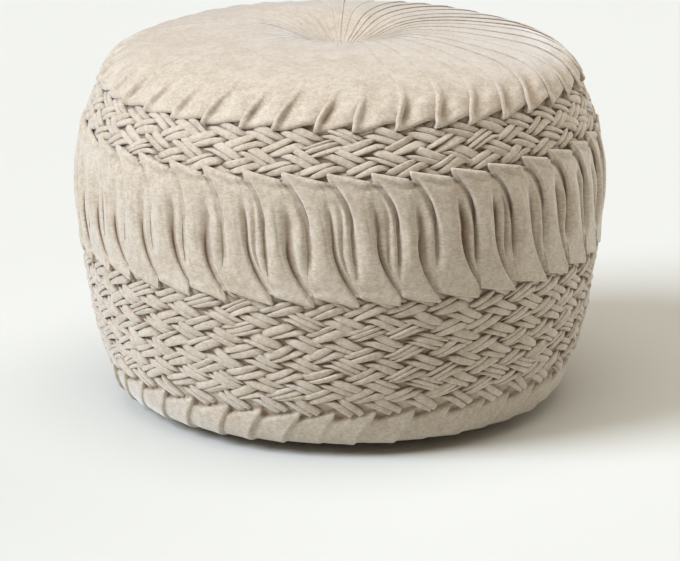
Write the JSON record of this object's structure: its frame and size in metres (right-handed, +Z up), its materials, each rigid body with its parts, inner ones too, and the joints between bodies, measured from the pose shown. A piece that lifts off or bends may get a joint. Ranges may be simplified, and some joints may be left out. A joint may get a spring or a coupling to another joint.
{
  "type": "smocked velvet pouf",
  "caption": "Low round filled pouf with a domed, pleated top, two hand-smocked bands and a gathered hem, for use as a footstool or a floor seat.",
  "frame": {"origin": "centre of the underside, on the surface the pouf stands on", "axes": "+Z up through the dimple of the top, -Y towards the front of the picture, +X to its right"},
  "size_m": [0.5058, 0.5058, 0.3587],
  "materials": {
    "velvet": "soft short-pile velvet with a slightly crushed, mottled sheen",
    "base_cloth": "plain matt woven cloth"
  },
  "bodies": {
    "root": {"velvet_cover": "velvet", "base_panel": "base_cloth"}
  },
  "joints": []
}
